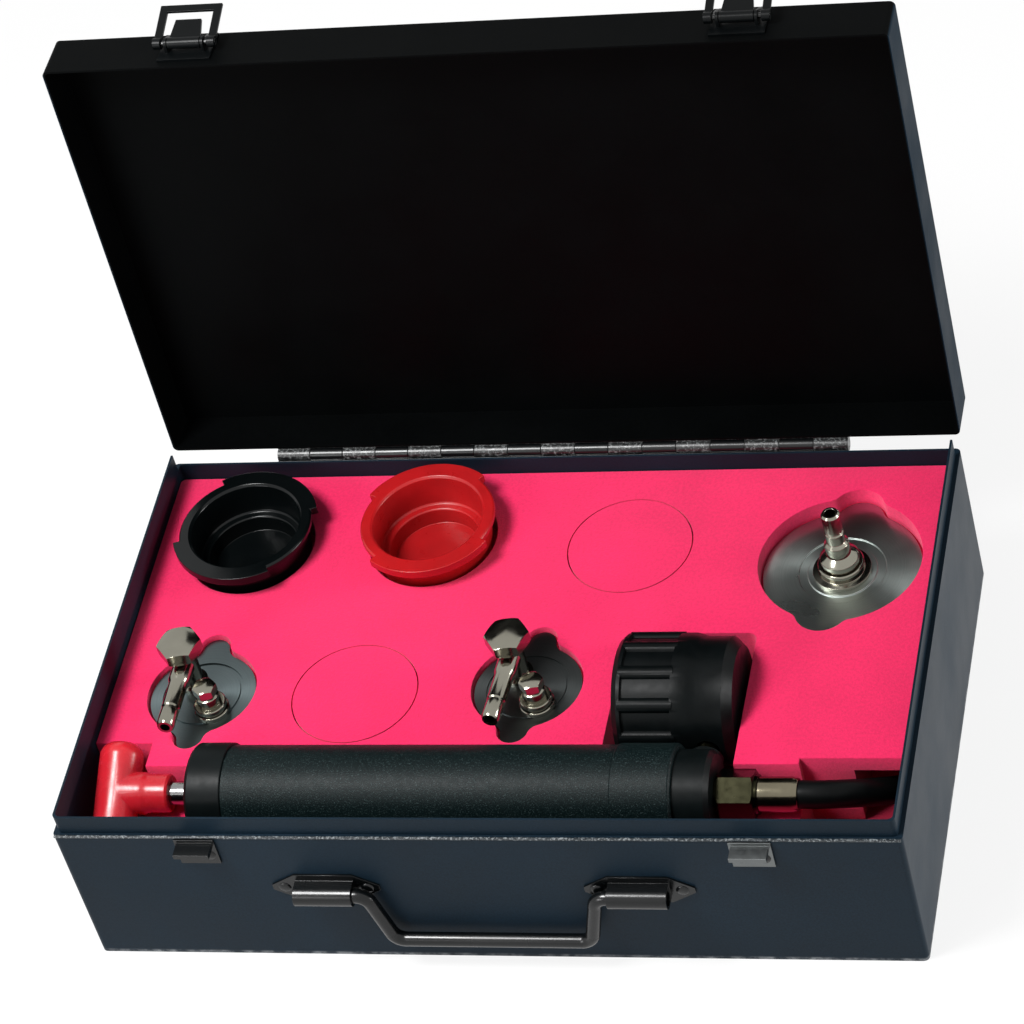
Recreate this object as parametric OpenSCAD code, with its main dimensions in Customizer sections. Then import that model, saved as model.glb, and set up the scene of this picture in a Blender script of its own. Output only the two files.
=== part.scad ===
// Radiator pressure tester kit in its steel case, lid open, as it stands on a bench.
// Millimetres. X runs to the right, Y to the rear, Z up. The origin is the centre of
// the case's bottom face. Every piece is drawn where it lies in the open case.

/* [Case] */
// Outside width of the steel case
case_w = 370; // [366:1:400]
// Outside depth of the steel case
case_d = 224; // [222:1:250]
// Height of the base up to the ledge that the lid closes on
base_h = 79; // [78:0.5:88]
// Height of the lip that stands above the ledge on three sides
lip_h = 10; // [5:0.5:12]
// How far the lip is set in from the walls
lip_inset = 2; // [1.6:0.1:3]
// Thickness of the sheet steel
sheet_t = 1; // [0.8:0.1:1.2]
// Radius of the upright corners of the case
corner_r = 2.5; // [1.5:0.5:4]

/* [Lid] */
// Outside height of the lid tray
lid_h = 22; // [21:0.5:32]
// Gap between the closed lid and the ledge
lid_gap = 0.4; // [0.2:0.1:0.8]
// Angle at which the open lid stands against its stop
lid_open = 92; // [90:1:110]

/* [Hinge] */
// Number of knuckles of the piano hinge
knuckle_count = 17; // [9:2:21]
// Length of one knuckle
knuckle_len = 15.5; // [12:0.5:16]
// Gap between neighbouring knuckles
knuckle_gap = 0.3; // [0.2:0.1:0.6]
// Outside radius of a knuckle
knuckle_r = 3.2; // [2.8:0.1:3.6]
// Radius of the hinge pin
hinge_pin_r = 1.5; // [1:0.1:1.8]
// Thickness of the hinge leaves
leaf_t = 1.2; // [1:0.1:1.6]
// Height of each hinge leaf
leaf_h = 14; // [10:1:17]

/* [Latches] */
// Distance of each latch and keeper from the middle of the case
latch_x = 121; // [95:1:140]
// Width of the latch loop
loop_w = 28; // [27:0.5:34]
// Reach of the latch loop from its pin to its outer edge
loop_reach = 20; // [19:0.5:22]
// Width of the strip that the loop is made of
loop_strip = 3.5; // [3:0.1:4]
// Thickness of the loop and the lever
latch_t = 1.4; // [1:0.1:1.8]
// Length of the latch lever from the pin
lever_len = 12; // [9:0.5:13]
// Radius of the latch pin
latch_pin_r = 1.2; // [1:0.1:1.4]
// Height of the latch pin above the lid's lower edge
latch_pin_up = 10.5; // [9:0.5:13]
// Angle by which the latches are thrown back on the open lid
latch_back = 75; // [60:1:90]

/* [Carry handle] */
// Radius of the handle rod
handle_rod_r = 3.2; // [2.5:0.1:3.6]
// Distance between the middles of the two handle brackets
handle_span = 138; // [120:1:170]
// Length of each handle bracket's sleeve
sleeve_len = 26; // [20:1:34]
// Height of the handle's pivot above the bench
handle_z = 47; // [42:1:52]
// How far the hand bar hangs below the pivot
handle_drop = 29; // [22:1:30]
// How far the sloping ends of the handle lean inwards
handle_lean = 7; // [4:1:14]

/* [Foam] */
// Depth of the foam's top face below the ledge
foam_drop = 9; // [8:0.5:10]
// Depth of the foam in front of the pump below the foam's top face
front_drop = 20; // [12:1:24]
// Height of the lower foam layer's top face
store_top = 30; // [29:0.2:30.6]
// Gap between the foam and the walls
foam_gap = 0.4; // [0.3:0.1:0.8]
// Radius of the two unused die-cut circles
die_cut_r = 28.7; // [20:0.1:30]
// Width of the die-cut slit
die_cut_w = 0.6; // [0.5:0.1:1.5]
// Depth of the die-cut slit
die_cut_depth = 3; // [2:1:12]

/* [Pump] */
// Distance of the pump's centre line from the front of the case
pump_from_front = 37; // [35:0.5:40]
// Depth of the pump's centre line below the foam's top face
pump_sink = 6; // [5:0.5:7]
// Outside radius of the barrel
barrel_r = 21; // [19:0.1:21.2]
// Inside radius of the barrel
bore_r = 17; // [14:0.1:17.5]
// Length of the barrel between its two end caps
barrel_len = 172.5; // [150:0.5:174]
// Outside radius of the handle-side end cap
rear_cap_r = 22; // [21.4:0.1:22.4]
// Length of the handle-side end cap
rear_cap_len = 16.5; // [12:0.5:18]
// Outside radius of the gauge-side end cap
front_cap_r = 21.6; // [21.3:0.1:22]
// Length of the gauge-side end cap
front_cap_len = 26; // [22:0.5:27]
// Outside radius of the pump head
head_r = 19; // [17:0.5:20]
// Length of the pump head
head_len = 15.7; // [14:0.1:17]
// Radius of the piston rod
rod_r = 5.2; // [4:0.1:6]
// Visible length of the rod between the cap and the handle
rod_show = 12.5; // [8:0.5:13]
// Radius of the T-handle's cross bar
tee_r = 9.7; // [8:0.1:9.9]
// Length of the T-handle's cross bar
tee_len = 45; // [38:1:48]
// Angle by which the T-handle is turned up from level
tee_turn = 25; // [0:5:30]
// Radius of the T-handle's shank
shank_r = 8.4; // [6.4:0.1:8.8]
// Length of the T-handle's shank beyond the cross bar
shank_len = 15.6; // [13:0.1:16]

/* [Gauge] */
// Outside radius of the gauge's ribbed boot
boot_r = 30; // [28:0.1:30.4]
// Height of the boot's ribs
boot_rib_h = 2.2; // [0.8:0.1:2.4]
// Number of ribs round the boot
boot_ribs = 12; // [8:1:16]
// Length of the ribbed part of the boot
boot_front_len = 32; // [28:0.5:34]
// Length of the whole boot
boot_len = 52; // [46:0.5:54]
// Outside radius of the gauge case inside the boot
gauge_case_r = 26; // [24:0.1:26.4]

/* [Hose] */
// Diameter of the hose
hose_d = 12; // [9:0.5:12.4]
// Size across flats of the hose nut
nut_af = 19; // [17:0.5:22]
// Length of the hose nut
nut_len = 18.3; // [15:0.1:19]
// Radius of the hose ferrule
ferrule_r = 7.5; // [6.8:0.1:8.2]
// Length of the hose ferrule
ferrule_len = 17; // [12:0.5:18]

/* [Cups] */
// Radius of the cup's rim
cup_rim_r = 31; // [29:0.2:32]
// Radius of the cup's lugs
cup_lug_r = 33.8; // [32.6:0.1:35]
// Radius of the cup's body under the rim
cup_body_r = 28.6; // [27:0.1:28.8]
// Radius of the cup's foot
cup_foot_r = 25.5; // [22:0.1:26]
// Height of a cup
cup_h = 28; // [24:0.5:30]
// Wall thickness of a cup
cup_wall = 3.2; // [2:0.1:3.6]
// How far a cup stands above the foam
cup_proud = 14; // [12:0.5:15]

/* [Large bayonet adapter] */
// Radius of the large plate
big_plate_r = 35.5; // [33:0.5:36]
// Reach of the large plate's ears
big_ear_tip = 41.5; // [40:0.5:43]
// Width of the large plate's ears
big_ear_w = 22; // [18:0.5:24]
// Height of the large adapter's nipple above its plate
big_nipple_h = 36.5; // [33:0.5:37]

/* [Small bayonet adapters] */
// Radius of the small plates
small_plate_r = 24; // [22:0.5:25]
// Reach of the small plates' ears
small_ear_tip = 32.5; // [30:0.5:33]
// Width of the small plates' ears
small_ear_w = 12; // [10:0.5:15]
// Size across flats of the coupler's large hexagon
coupler_af = 17.5; // [15:0.5:18.5]
// Height of the coupler's large hexagon above the plate
coupler_h = 26.5; // [24:0.5:28]

/* [Bayonet plates] */
// Thickness of the bayonet plates
plate_t = 1.6; // [1.2:0.1:2]
// Depth of the large plate's lower face below the foam's top face
plate_sink = 9; // [8.5:0.5:11]
// Depth of the small plates' lower face below the foam's top face
small_plate_sink = 4; // [3:0.5:6]
// Thickness of the rubber seal under a plate
seal_t = 5; // [3:0.5:6]

/* [Hidden] */
$fn = 64;

// Colours
c_steel = "#1d1f20";
c_bare = "#9aa0a4";
c_foam = "#e0355a";
c_foam_low = "#c22a49";
c_rubber = "#17181a";
c_red = "#d3232f";
c_chrome = "#c4c6c2";
c_brass = "#a89a62";

// Clearances
eps = 0.01;
run_fit = 0.06; // radial, shaft in its bore
seat = 0.3; // between soft foam and what lies on it
pocket_gap = 1; // round a piece in its foam cut-out
piece_gap = 0.4; // between neighbouring rigid pieces on different bodies

// Case levels
half_w = case_w / 2;
half_d = case_d / 2;
wall_in_x = half_w - sheet_t;
wall_in_y = half_d - sheet_t;
lip_out_x = half_w - lip_inset;
lip_out_y = half_d - lip_inset;
lip_in_x = lip_out_x - sheet_t;
lip_in_y = lip_out_y - sheet_t;
lip_top = base_h + lip_h;
lid_z = base_h + lid_gap;
foam_top = base_h - foam_drop;
foam_floor = sheet_t + seat;
deck_z = store_top + seat;

// Hinge
hinge_len = knuckle_count * knuckle_len + (knuckle_count - 1) * knuckle_gap;
hinge_pitch = knuckle_len + knuckle_gap;
hinge_y = half_d + knuckle_r + 0.8;
hinge_z = lid_z;
hinge_clear = 0.4;

// Latches
latch_y = -half_d - 4.5; // pin, out from the lid's front wall
latch_z = lid_z + latch_pin_up;
latch_plate_t = 1;
ear_x = loop_w / 2 - loop_strip - 1.6; // outer face of the bracket's ears
ear_t = 1.2;
eye_r = latch_pin_r + 1.3;
lever_root = 2 * (ear_x - ear_t) - 0.8;
nose_top = latch_z - loop_reach + loop_strip + 3;
nose_out = 8;
nose_w = 16;
keeper_h = 15;
rivet_r = 1.6;
rivet_head_r = 2.9;
rivet_head_h = 0.8;
rivet_tail_h = 0.25; // closing head, flatter than the gap to the foam
rivet_gap = 0.05;

// Carry handle
handle_y = -half_d - handle_rod_r - 2.2;
sleeve_r = handle_rod_r + 1.4;
sleeve_plate_t = 1;
bracket_h = 16;
bracket_tip = 11;
handle_bend_r = 6;
bend_swell = 0.04; // a bend is this much thicker than the straight rod
bend_overlap = 0.4; // how far the straight rod runs into a bend
handle_turn = atan2(handle_drop, handle_lean);
handle_tangent = handle_bend_r * tan(handle_turn / 2);
handle_in = handle_span / 2 - sleeve_len / 2 - 0.8 - handle_tangent; // upper corner
handle_out = handle_span / 2 + sleeve_len / 2 - 2;
handle_bar_x = handle_in - handle_lean; // lower corner

// Pump, along X, handle to the left
pump_y = -half_d + pump_from_front;
pump_z = foam_top - pump_sink;
tee_wall_gap = 3.5; // room for the first millimetres of the stroke as the pump swings up
tee_x = -lip_in_x + tee_wall_gap + tee_r;
shank_x = tee_x + tee_r + shank_len;
rear_cap_x = shank_x + rod_show;
barrel_x = rear_cap_x + rear_cap_len;
front_cap_x = barrel_x + barrel_len;
head_x = front_cap_x + front_cap_len;
nut_x = head_x + head_len;
ferrule_x = nut_x + nut_len;
hose_x = ferrule_x + ferrule_len;
cap_grip = 8; // depth of the barrel's seat in each cap
piston_len = 10;
piston_back = front_cap_x - 4; // front face of the pushed-in piston
valve_t = 2;
trough_r = rear_cap_r + piece_gap;
tilt_room = 1; // the pump's head moves right a little as it tilts up
shank_gap = 2; // foam beside the T-handle's shank

// Gauge, along X, dial to the left, beside the pump's head
gauge_y = pump_y + front_cap_r + piece_gap + boot_r;
gauge_x = nut_x + 4 - boot_len;
gauge_back_r = boot_r - 2;
boot_rib_r = 3.4;
gauge_wall = 1.5;
dial_x = gauge_x + 9;
lens_x = gauge_x + 3;
stem_x = head_x + head_len / 2;
stem_r = 5;
gauge_pocket_left = gauge_x - 4.5;
gauge_pocket_right = gauge_x + boot_len + 2;
gauge_pocket_rear = gauge_y + boot_r + 4;
gauge_floor = pump_z - boot_r - seat;

// Hose: leaves the ferrule, dips under the deck at the right wall and lies in the
// channel of the lower layer, along the right and the rear wall
hose_route = [
    [135, -75, 64], [137.5, -75, 64], [142, -74.8, 63.7], [147, -74, 62.9], [153, -72.2, 61.2],
    [158.8, -69.6, 58.6], [164, -66.2, 55.2], [168.7, -61.9, 50.9], [172.4, -56.6, 45.6],
    [174.9, -50.5, 39.5], [176, -43, 32.5],
    [176, -36, 26], [176, -28, 20], [176, -19, 15.5], [176, -9, 12.5], [176, 2, 11],
    [176, 14, 11], [176, 26, 11], [176, 38, 11], [175.5, 50, 11], [173, 60, 11],
    [168.5, 69.5, 11], [162.5, 78, 11], [155, 85, 11], [146, 90.5, 11], [136, 94.5, 11],
    [125, 96, 11], [112, 96, 11], [98, 96, 11], [84, 96, 11], [70, 96, 11],
    [56, 96, 11], [42, 96, 11], [28, 96, 11], [14, 96, 11.3], [0, 96, 12],
    [-14, 96, 13], [-28, 96, 13.7], [-40, 96, 14], [-52, 96, 14]
];
hose_dip = 2; // route point from which the hose sinks
hose_dive = 10; // route point from which it runs along the right wall
hose_side = 16; // route point on the channel's floor at the right wall
hose_sides = 12;
hose_end = hose_route[len(hose_route) - 1];
coupler_r = 9;
coupler_len = 44;
coupler_sleeve_r = 11.2;
coupler_sleeve_len = 18;
channel_w = hose_d + 2;

// Cups
cup_z = foam_top + cup_proud - cup_h;
cup_rim_t = 3.4;
cup_lug_t = 4;
cup_lug_angle = 104;
cup_step_z = 12;
cup_step_w = 5;
cup_floor_t = 4;
black_cup_at = [-138.5, 67, -20];
red_cup_at = [-52.5, 70, 12];

// Bayonet adapters
large_z = foam_top - plate_sink;
small_z = foam_top - small_plate_sink;
hub_r = 13;
hub_flange_r = 15;
hub_flange_t = 2;
seal_gap = 0.15;
ear_fillet = 7;
fillet_ease = 0.02; // lets a fillet cross the two rounds that it joins
port_r = 1.5;
groove_depth = 0.6;
large_at = [136.5, 54.2, -8, large_z]; // x, y, turn and height of the plate's lower face
left_at = [-141.5, -21, 0, small_z];
right_at = [7.5, -18, -4, small_z];
large_seal_r = 24;
small_seal_r = 18;
coupler_at = [-6.5, 7.5];
relief_at = [6.8, -9.4];
side_nipple_r = 4.2;
side_nipple_y = -31;
die_cut_at = [[40, 64], [-70, -23]];

// ---------------------------------------------------------------- helpers

// Rounded rectangle with true corner arcs
module round_rect(w, d, r) {
    square([w - 2 * r, d], center = true);
    square([w, d - 2 * r], center = true);
    for (sx = [-1, 1], sy = [-1, 1])
        translate([sx * (w / 2 - r), sy * (d / 2 - r)])
            circle(r);
}

// Box from one corner to the other
module span_box(a, b) {
    translate(a)
        cube(b - a);
}

// Round bar along X, Y or Z from a start coordinate
module x_rod(x0, x1, r, y = 0, z = 0) {
    translate([x0, y, z])
        rotate([0, 90, 0])
            cylinder(r = r, h = x1 - x0);
}

module y_rod(y0, y1, r, x = 0, z = 0) {
    translate([x, y1, z])
        rotate([90, 0, 0])
            cylinder(r = r, h = y1 - y0);
}

module z_rod(z0, z1, r, x = 0, y = 0) {
    translate([x, y, z0])
        cylinder(r = r, h = z1 - z0);
}

// Round bar between two points
module rod_between(p, q, r) {
    d = q - p;
    l = norm(d);
    translate(p)
        rotate([0, acos(d[2] / l), atan2(d[1], d[0])])
            cylinder(r = r, h = l);
}

// Turned shape along X: profile points are [distance along X, radius]
module turned_x(x0, profile, y = 0, z = 0) {
    translate([x0, y, z])
        rotate([0, 90, 0])
            rotate_extrude()
                polygon([for (p = profile) [p[1], p[0]]]);
}

// Turned shape along Z
module turned_z(z0, profile) {
    translate([0, 0, z0])
        rotate_extrude()
            polygon([for (p = profile) [p[1], p[0]]]);
}

// Hexagonal prism along Z with its flats turned to X, corners chamfered
module hex_z(z0, z1, af, turn = 0) {
    across = af / cos(30);
    intersection() {
        translate([0, 0, z0])
            rotate(turn)
                cylinder(d = across, h = z1 - z0, $fn = 6);
        translate([0, 0, z0])
            rotate_extrude()
                polygon([
                    [0, 0], [across / 2 - 0.6, 0], [across / 2 + 0.1, 0.6],
                    [across / 2 + 0.1, z1 - z0 - 0.8], [across / 2 - 1.2, z1 - z0], [0, z1 - z0]
                ]);
    }
}

// Rivet along Y: head at -Y, shank through to the closing head
module rivet_y(x, y_face, z, grip) {
    translate([x, y_face, z])
        rotate([-90, 0, 0])
            rotate_extrude()
                polygon([
                    [0, -rivet_head_h], [rivet_head_r * 0.55, -rivet_head_h],
                    [rivet_head_r * 0.9, -rivet_head_h * 0.5], [rivet_head_r, 0],
                    [rivet_r, 0], [rivet_r, grip], [rivet_head_r * 0.8, grip],
                    [rivet_head_r * 0.7, grip + rivet_tail_h], [0, grip + rivet_tail_h]
                ]);
}

// ---------------------------------------------------------------- steel case

module case_base() {
    color(c_steel)
        difference() {
            union() {
                linear_extrude(base_h)
                    round_rect(case_w, case_d, corner_r);
                base_lip_block();
            }
            translate([0, 0, sheet_t])
                linear_extrude(base_h - 2 * sheet_t)
                    round_rect(2 * wall_in_x, 2 * wall_in_y, corner_r - sheet_t / 2);
            base_mouth();
            base_rivet_holes();
        }
}

// Solid that stands above the ledge before the mouth is cut out of it
module base_lip_block() {
    intersection() {
        linear_extrude(lip_top)
            round_rect(2 * lip_out_x, 2 * lip_out_y, corner_r);
        span_box([-half_w, -half_d, base_h - sheet_t], [half_w, lip_out_y - corner_r, lip_top + 1]);
    }
}

// The mouth of the tub, open to the rear wall because no lip stands there
module base_mouth() {
    translate([0, 0, base_h - sheet_t - eps])
        linear_extrude(lip_h + 2 * sheet_t)
            round_rect(2 * lip_in_x, 2 * lip_in_y, corner_r);
    span_box([-lip_in_x, 0, base_h - sheet_t - eps], [lip_in_x, wall_in_y, lip_top + 1]);
}

module base_rivet_holes() {
    for (x = keeper_rivet_xs())
        y_rod(-half_d - 1, -wall_in_y + 1, rivet_r + rivet_gap, x, keeper_rivet_z());
    for (x = handle_rivet_xs())
        y_rod(-half_d - 1, -wall_in_y + 1, rivet_r + rivet_gap, x, handle_z);
}

// Places the children of the closed lid where the open lid holds them
module on_lid() {
    translate([0, hinge_y, hinge_z])
        rotate([-lid_open, 0, 0])
            translate([0, -hinge_y, -hinge_z])
                children();
}

module case_lid() {
    color(c_steel)
        on_lid()
            difference() {
                translate([0, 0, lid_z])
                    linear_extrude(lid_h)
                        round_rect(case_w, case_d, corner_r);
                translate([0, 0, lid_z - 1])
                    linear_extrude(lid_h - sheet_t + 1)
                        round_rect(2 * wall_in_x, 2 * wall_in_y, corner_r - sheet_t / 2);
                for (x = latch_rivet_xs())
                    y_rod(-half_d - 1, -wall_in_y + 1, rivet_r + rivet_gap, x, latch_rivet_z());
            }
}

// ---------------------------------------------------------------- piano hinge

function knuckle_x(i) = -hinge_len / 2 + i * hinge_pitch;

// side 0: knuckles of the lid's leaf, side 1: knuckles of the base's leaf
module hinge_leaf(side) {
    up = side == 0 ? 1 : -1;
    leaf_z0 = side == 0 ? hinge_z + hinge_clear / 2 : hinge_z - lid_gap - leaf_h;
    difference() {
        union() {
            span_box([-hinge_len / 2, half_d, leaf_z0],
                     [hinge_len / 2, half_d + leaf_t, leaf_z0 + leaf_h]);
            for (i = [side:2:knuckle_count - 1])
                hinge_knuckle(i, up);
        }
        for (i = [1 - side:2:knuckle_count - 1])
            x_rod(knuckle_x(i) - knuckle_gap, knuckle_x(i) + knuckle_len + knuckle_gap,
                  knuckle_r + hinge_clear, hinge_y, hinge_z);
        x_rod(-hinge_len / 2 - 1, hinge_len / 2 + 1, hinge_pin_r + run_fit, hinge_y, hinge_z);
    }
}

// One knuckle with the curl that joins it to its leaf
module hinge_knuckle(i, up) {
    x0 = knuckle_x(i);
    x_rod(x0, x0 + knuckle_len, knuckle_r, hinge_y, hinge_z);
    z_reach = up > 0 ? [hinge_z + hinge_clear / 2, hinge_z + knuckle_r]
                     : [hinge_z - knuckle_r, hinge_z - lid_gap];
    span_box([x0, half_d, z_reach[0]], [x0 + knuckle_len, hinge_y, z_reach[1]]);
}

module hinge_base_leaf() {
    color(c_steel)
        hinge_leaf(1);
}

module hinge_lid_leaf() {
    color(c_steel)
        on_lid()
            hinge_leaf(0);
}

module hinge_pin() {
    color(c_bare)
        x_rod(-hinge_len / 2, hinge_len / 2, hinge_pin_r, hinge_y, hinge_z);
}

// ---------------------------------------------------------------- latches

function latch_rivet_z() = latch_z + 7.5;
function latch_rivet_xs() = [for (s = [-1, 1], k = [-1, 1]) s * latch_x + k * 9];

module latch_bracket(x0) {
    back = -half_d;
    color(c_steel)
        on_lid()
            translate([x0, 0, 0])
                difference() {
                    union() {
                        span_box([-ear_x - 3, back - latch_plate_t, latch_z - 7],
                                 [ear_x + 3, back, latch_z + 10.5]);
                        for (s = [-1, 1])
                            latch_ear(s);
                    }
                    x_rod(-loop_w, loop_w, latch_pin_r + run_fit, latch_y, latch_z);
                    for (k = [-1, 1])
                        y_rod(back - latch_plate_t - 1, back + 1, rivet_r + rivet_gap,
                              k * 9, latch_rivet_z());
                }
}

module latch_ear(s) {
    x0 = s > 0 ? ear_x - ear_t : -ear_x;
    x_rod(x0, x0 + ear_t, eye_r, latch_y, latch_z);
    span_box([x0, latch_y, latch_z - eye_r], [x0 + ear_t, -half_d - latch_plate_t + eps, latch_z + eye_r]);
}

module latch_pin(x0) {
    color(c_bare)
        on_lid()
            x_rod(x0 - loop_w / 2, x0 + loop_w / 2, latch_pin_r, latch_y, latch_z);
}

// Lever: trapezoid tongue that stands out between the bracket's ears
module latch_lever(x0) {
    tip = lever_root - 3;
    color(c_steel)
        on_lid()
            translate([x0, latch_y, latch_z])
                rotate([-latch_back, 0, 0])
                    difference() {
                        union() {
                            x_rod(-lever_root / 2, lever_root / 2, eye_r);
                            translate([0, 0, -latch_t / 2])
                                linear_extrude(latch_t)
                                    polygon([
                                        [-lever_root / 2, 0], [lever_root / 2, 0],
                                        [tip / 2, -lever_len], [-tip / 2, -lever_len]
                                    ]);
                        }
                        x_rod(-loop_w, loop_w, latch_pin_r + run_fit);
                    }
}

// Loop: flat frame whose two legs turn on the ends of the pin
module latch_loop(x0) {
    leg_in = loop_w / 2 - loop_strip;
    color(c_steel)
        on_lid()
            translate([x0, latch_y, latch_z])
                rotate([-latch_back, 0, 0])
                    difference() {
                        union() {
                            translate([0, 0, -latch_t / 2])
                                linear_extrude(latch_t)
                                    difference() {
                                        loop_outline();
                                        translate([-leg_in, -loop_reach + loop_strip])
                                            square([2 * leg_in, loop_reach + eye_r + 1]);
                                    }
                            for (s = [-1, 1])
                                x_rod(s > 0 ? leg_in : -leg_in - loop_strip,
                                      s > 0 ? leg_in + loop_strip : -leg_in, eye_r);
                        }
                        x_rod(-loop_w, loop_w, latch_pin_r + run_fit);
                    }
}

module loop_outline() {
    translate([-loop_w / 2, -loop_reach])
        square([loop_w, loop_reach + latch_pin_r]);
}

module latch_rivets() {
    color(c_bare)
        on_lid()
            for (x = latch_rivet_xs())
                rivet_y(x, -half_d - latch_plate_t, latch_rivet_z(), latch_plate_t + sheet_t);
}

// ---------------------------------------------------------------- keepers

function keeper_rivet_z() = nose_top - 8;
function keeper_rivet_xs() = [for (s = [-1, 1], k = [-1, 1]) s * latch_x + k * 5];

module keeper(x0) {
    plate_top_z = nose_top + 1.5;
    color(c_steel)
        translate([x0, 0, 0])
            difference() {
                union() {
                    span_box([-nose_w / 2 - 1, -half_d - latch_plate_t, plate_top_z - keeper_h],
                             [nose_w / 2 + 1, -half_d, plate_top_z]);
                    span_box([-nose_w / 2, -half_d - nose_out, nose_top - 2.4],
                             [nose_w / 2, -half_d - latch_plate_t + eps, nose_top]);
                }
                for (k = [-1, 1])
                    y_rod(-half_d - latch_plate_t - 1, -half_d + 1, rivet_r + rivet_gap,
                          k * 5, keeper_rivet_z());
            }
}

module keeper_rivets() {
    color(c_bare)
        for (x = keeper_rivet_xs())
            rivet_y(x, -half_d - latch_plate_t, keeper_rivet_z(), latch_plate_t + sheet_t);
}

// ---------------------------------------------------------------- carry handle

function handle_rivet_xs() = [
    for (s = [-1, 1], k = [-1, 1]) s * handle_span / 2 + k * (sleeve_len / 2 + bracket_tip / 2)
];

// Pressed bracket: a plate with pointed ends and the sleeve that holds the rod
module handle_bracket(x0) {
    long = sleeve_len / 2 + bracket_tip;
    color(c_steel)
        translate([x0, 0, handle_z])
            difference() {
                union() {
                    translate([0, -half_d, 0])
                        rotate([90, 0, 0])
                            linear_extrude(sleeve_plate_t)
                                polygon([
                                    [-long, 1.5], [-long, -1.5], [-sleeve_len / 2, -bracket_h / 2],
                                    [sleeve_len / 2, -bracket_h / 2], [long, -1.5], [long, 1.5],
                                    [sleeve_len / 2, bracket_h / 2], [-sleeve_len / 2, bracket_h / 2]
                                ]);
                    x_rod(-sleeve_len / 2, sleeve_len / 2, sleeve_r, handle_y, 0);
                    span_box([-sleeve_len / 2, handle_y, -sleeve_r],
                             [sleeve_len / 2, -half_d, sleeve_r]);
                }
                x_rod(-long, long, handle_rod_r + run_fit, handle_y, 0);
                for (k = [-1, 1])
                    y_rod(-half_d - sleeve_plate_t - 1, -half_d + 1, rivet_r + rivet_gap,
                          k * (sleeve_len / 2 + bracket_tip / 2), 0);
            }
}

module handle_rivets() {
    color(c_bare)
        for (x = handle_rivet_xs())
            rivet_y(x, -half_d - sleeve_plate_t, handle_z, sleeve_plate_t + sheet_t);
}

// One bend of the handle rod in the upright plane, from angle a0 to a1
module handle_bend(x, z, a0, a1) {
    translate([x, handle_y, z])
        rotate([90, 0, 0])
            rotate(a0)
                rotate_extrude(angle = a1 - a0)
                    translate([handle_bend_r, 0])
                        circle(handle_rod_r + bend_swell);
}

module handle_side() {
    along = [cos(handle_turn), 0, sin(handle_turn)];
    top = [handle_in, handle_y, handle_z];
    low = [handle_bar_x, handle_y, handle_z - handle_drop];
    inset = handle_tangent - bend_overlap;
    x_rod(handle_in + inset, handle_out, handle_rod_r, handle_y, handle_z);
    handle_bend(handle_in + handle_tangent, handle_z - handle_bend_r, 90, 90 + handle_turn);
    rod_between(low + inset * along, top - inset * along, handle_rod_r);
    handle_bend(handle_bar_x - handle_tangent, low[2] + handle_bend_r, -90, handle_turn - 90);
}

module carry_handle() {
    bar = handle_bar_x - handle_tangent + bend_overlap;
    color(c_steel) {
        handle_side();
        mirror([1, 0, 0])
            handle_side();
        x_rod(-bar, bar, handle_rod_r, handle_y, handle_z - handle_drop);
    }
}

// ---------------------------------------------------------------- foam

module foam_layer(z0, z1) {
    translate([0, 0, z0])
        linear_extrude(z1 - z0)
            round_rect(2 * (wall_in_x - foam_gap), 2 * (wall_in_y - foam_gap), corner_r);
}

module foam_base() {
    color(c_foam_low)
        difference() {
            foam_layer(foam_floor, store_top);
            hose_channel();
        }
}

// Channel that stows the hose along the right and the rear wall, and its coupler
module hose_channel() {
    side = hose_route[hose_side];
    floor_z = side[2] - hose_d / 2 - seat;
    side_x = side[0] - channel_w / 2;
    rear_y = hose_end[1] - channel_w / 2;
    span_box([side_x, hose_route[hose_dive][1] - hose_d, floor_z], [half_w, half_d, store_top + 1]);
    span_box([hose_end[0], rear_y, floor_z], [half_w, half_d, store_top + 1]);
    span_box([side_x - 48, rear_y - 44, floor_z], [half_w, half_d, store_top + 1]);
    span_box([hose_end[0] - coupler_len - 8, hose_end[1] - coupler_sleeve_r - 1.5, sheet_t],
             [hose_end[0] + 8, half_d, store_top + 1]);
}

module foam_deck() {
    color(c_foam)
        difference() {
            foam_layer(deck_z, foam_top);
            pump_trough();
            gauge_pocket();
            hose_tunnel();
            for (p = [black_cup_at, red_cup_at])
                z_rod(cup_z - seat, foam_top + 1, cup_body_r + pocket_gap, p[0], p[1]);
            plate_pocket(large_at, big_plate_r, big_ear_tip, big_ear_w, large_seal_r);
            plate_pocket(left_at, small_plate_r, small_ear_tip, small_ear_w, small_seal_r);
            plate_pocket(right_at, small_plate_r, small_ear_tip, small_ear_w, small_seal_r);
            for (c = die_cut_at)
                die_cut(c);
        }
}

// Slit ring of a circle that the kit's maker leaves for another adapter
module die_cut(c) {
    translate([c[0], c[1], foam_top - die_cut_depth])
        linear_extrude(die_cut_depth + 1)
            difference() {
                circle(die_cut_r);
                circle(die_cut_r - die_cut_w);
            }
}

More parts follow.
